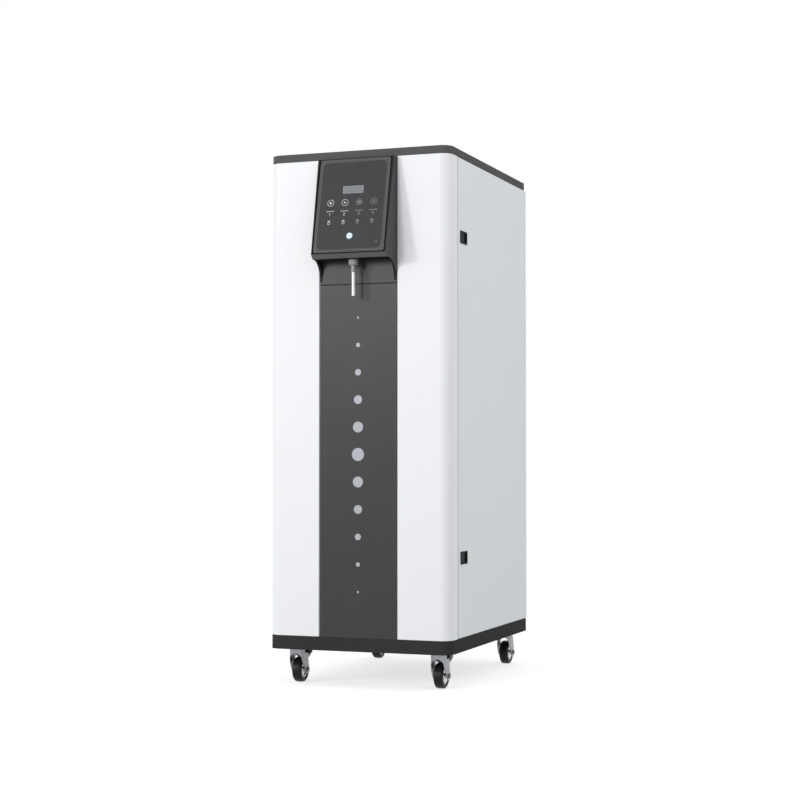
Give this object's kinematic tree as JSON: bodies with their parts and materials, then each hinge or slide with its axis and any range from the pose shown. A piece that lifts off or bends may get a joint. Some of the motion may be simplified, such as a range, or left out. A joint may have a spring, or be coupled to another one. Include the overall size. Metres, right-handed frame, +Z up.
{
  "type": "laboratory water purifier",
  "caption": "Floor-standing laboratory water purifier: a castored cabinet with side doors, a dispensing head with a key panel and spout, and filters, tank and pump inside.",
  "frame": {"origin": "on the floor, under the middle of the overall width and depth", "axes": "+Z up; +Y from the front, where the dispensing head is, to the back; +X to the right seen from the front"},
  "size_m": [0.39, 0.6032, 1.073],
  "materials": {
    "lid_paint": "satin",
    "plinth_paint": "satin",
    "strip_paint": "satin",
    "shell_white": "satin",
    "door_white": "satin",
    "rear_white": "satin",
    "inlay_silver": "satin",
    "head_plastic": "fine texture",
    "bezel_plastic": "fine texture",
    "overlay_film": "satin film",
    "display_pane": "gloss",
    "key_ring": "gloss",
    "dispense_cap": "gloss",
    "board_green": "solder mask",
    "nut_plastic": "satin",
    "spout_steel": "brushed",
    "latch_cup": "satin",
    "latch_slider": "satin",
    "hinge_steel": "zinc plated",
    "frame_steel": "powder coat",
    "castor_zinc": "bright zinc",
    "axle_steel": "zinc plated",
    "hub_metal": "polished",
    "tyre_rubber": "smooth tread",
    "brake_plastic": "satin",
    "brake_grey": "satin",
    "port_plastic": "satin",
    "inlet_plastic": "satin",
    "rocker_plastic": "gloss",
    "tank_paint": "gloss",
    "pump_metal": "cast, satin",
    "supply_metal": "satin",
    "filter_plastic": "gloss",
    "deioniser_plastic": "gloss",
    "membrane_plastic": "gloss",
    "hose_plastic": "satin"
  },
  "bodies": {
    "cabinet": {"plinth": "plinth_paint", "base_plate": "frame_steel", "lid": "lid_paint", "cabinet_frame": "frame_steel", "shelf": "frame_steel", "front_panel_right": "shell_white", "front_panel_left": "shell_white", "front_strip": "strip_paint", "strip_dots": "inlay_silver", "rear_panel": "rear_white", "dispenser_housing": "head_plastic", "control_bezel": "bezel_plastic", "control_overlay": "overlay_film", "display_window": "display_pane", "control_board": "board_green", "outlet_fitting": "nut_plastic", "outlet_tube": "spout_steel", "hinge_pins": "hinge_steel", "castor_plates": "castor_zinc", "water_ports": "port_plastic", "power_inlet": "inlet_plastic", "storage_tank": "tank_paint", "booster_pump": "pump_metal", "power_supply": "supply_metal", "prefilter_housings": "filter_plastic", "deioniser_cartridges": "deioniser_plastic", "membrane_housings": "membrane_plastic", "water_tubing": "hose_plastic"},
    "right_door": {"right_door": "door_white", "right_latch_frames": "latch_cup"},
    "right_upper_latch": {"right_latch_upper": "latch_slider"},
    "right_lower_latch": {"right_latch_lower": "latch_slider"},
    "left_door": {"left_door": "door_white", "left_latch_frames": "latch_cup"},
    "left_upper_latch": {"left_latch_upper": "latch_slider"},
    "left_lower_latch": {"left_latch_lower": "latch_slider"},
    "key_1": {"key_1": "key_ring"},
    "key_2": {"key_2": "key_ring"},
    "key_3": {"key_3": "key_ring"},
    "key_4": {"key_4": "key_ring"},
    "dispense_key": {"dispense_key": "dispense_cap"},
    "mains_rocker": {"rocker_switch": "rocker_plastic"},
    "front_left_castor": {"front_left_fork": "castor_zinc", "front_left_axle": "axle_steel"},
    "front_left_wheel": {"front_left_hub": "hub_metal", "front_left_tyre": "tyre_rubber"},
    "front_left_brake": {"front_left_brake": "brake_plastic"},
    "front_right_castor": {"front_right_fork": "castor_zinc", "front_right_axle": "axle_steel"},
    "front_right_wheel": {"front_right_hub": "hub_metal", "front_right_tyre": "tyre_rubber"},
    "front_right_brake": {"front_right_brake": "brake_grey"},
    "rear_left_castor": {"rear_left_fork": "castor_zinc", "rear_left_axle": "axle_steel"},
    "rear_left_wheel": {"rear_left_hub": "hub_metal", "rear_left_tyre": "tyre_rubber"},
    "rear_right_castor": {"rear_right_fork": "castor_zinc", "rear_right_axle": "axle_steel"},
    "rear_right_wheel": {"rear_right_hub": "hub_metal", "rear_right_tyre": "tyre_rubber"}
  },
  "joints": [
    {"name": "right_door_hinge", "type": "hinge", "parent": "cabinet", "child": "right_door", "pos_m": [0.187, 0.26365, 0.5], "axis": [0, 0, 1], "range_deg": [0, 105]},
    {"name": "right_upper_latch_slide", "type": "slide", "parent": "right_door", "child": "right_upper_latch", "axis": [0, 1, 0], "range_m": [0, 0.008], "stiffness_N_per_m": 150},
    {"name": "right_lower_latch_slide", "type": "slide", "parent": "right_door", "child": "right_lower_latch", "axis": [0, 1, 0], "range_m": [0, 0.008], "stiffness_N_per_m": 150},
    {"name": "left_door_hinge", "type": "hinge", "parent": "cabinet", "child": "left_door", "pos_m": [-0.187, 0.26365, 0.5], "axis": [0, 0, -1], "range_deg": [0, 105]},
    {"name": "left_upper_latch_slide", "type": "slide", "parent": "left_door", "child": "left_upper_latch", "axis": [0, 1, 0], "range_m": [0, 0.008], "stiffness_N_per_m": 150},
    {"name": "left_lower_latch_slide", "type": "slide", "parent": "left_door", "child": "left_lower_latch", "axis": [0, 1, 0], "range_m": [0, 0.008], "stiffness_N_per_m": 150},
    {"name": "key_1_press", "type": "slide", "parent": "cabinet", "child": "key_1", "axis": [0, 0.9762, -0.217], "range_m": [0, 0.0008], "stiffness_N_per_m": 400},
    {"name": "key_2_press", "type": "slide", "parent": "cabinet", "child": "key_2", "axis": [0, 0.9762, -0.217], "range_m": [0, 0.0008], "stiffness_N_per_m": 400},
    {"name": "key_3_press", "type": "slide", "parent": "cabinet", "child": "key_3", "axis": [0, 0.9762, -0.217], "range_m": [0, 0.0008], "stiffness_N_per_m": 400},
    {"name": "key_4_press", "type": "slide", "parent": "cabinet", "child": "key_4", "axis": [0, 0.9762, -0.217], "range_m": [0, 0.0008], "stiffness_N_per_m": 400},
    {"name": "dispense_key_press", "type": "slide", "parent": "cabinet", "child": "dispense_key", "axis": [0, 0.9762, -0.217], "range_m": [0, 0.0015], "stiffness_N_per_m": 400},
    {"name": "mains_rocker_tilt", "type": "hinge", "parent": "cabinet", "child": "mains_rocker", "pos_m": [0.09, 0.28165, 0.59], "axis": [-1, 0, 0], "range_deg": [0, 20]},
    {"name": "front_left_swivel", "type": "hinge", "parent": "cabinet", "child": "front_left_castor", "pos_m": [-0.1524, -0.19555, 0.06], "axis": [0, 0, 1], "continuous": true},
    {"name": "front_left_roll", "type": "hinge", "parent": "front_left_castor", "child": "front_left_wheel", "pos_m": [-0.1524, -0.17955, 0.0255], "axis": [1, 0, 0], "continuous": true},
    {"name": "front_left_brake_tip", "type": "hinge", "parent": "front_left_castor", "child": "front_left_brake", "pos_m": [-0.1524, -0.16955, 0.0565], "axis": [-1, 0, 0], "range_deg": [0, 12]},
    {"name": "front_right_swivel", "type": "hinge", "parent": "cabinet", "child": "front_right_castor", "pos_m": [0.1524, -0.19555, 0.06], "axis": [0, 0, 1], "continuous": true},
    {"name": "front_right_roll", "type": "hinge", "parent": "front_right_castor", "child": "front_right_wheel", "pos_m": [0.1524, -0.17955, 0.0255], "axis": [1, 0, 0], "continuous": true},
    {"name": "front_right_brake_tip", "type": "hinge", "parent": "front_right_castor", "child": "front_right_brake", "pos_m": [0.1524, -0.16955, 0.0565], "axis": [-1, 0, 0], "range_deg": [0, 12]},
    {"name": "rear_left_swivel", "type": "hinge", "parent": "cabinet", "child": "rear_left_castor", "pos_m": [-0.1524, 0.24875, 0.06], "axis": [0, 0, 1], "continuous": true},
    {"name": "rear_left_roll", "type": "hinge", "parent": "rear_left_castor", "child": "rear_left_wheel", "pos_m": [-0.1524, 0.26475, 0.0255], "axis": [1, 0, 0], "continuous": true},
    {"name": "rear_right_swivel", "type": "hinge", "parent": "cabinet", "child": "rear_right_castor", "pos_m": [0.1524, 0.24875, 0.06], "axis": [0, 0, 1], "continuous": true},
    {"name": "rear_right_roll", "type": "hinge", "parent": "rear_right_castor", "child": "rear_right_wheel", "pos_m": [0.1524, 0.26475, 0.0255], "axis": [1, 0, 0], "continuous": true}
  ]
}
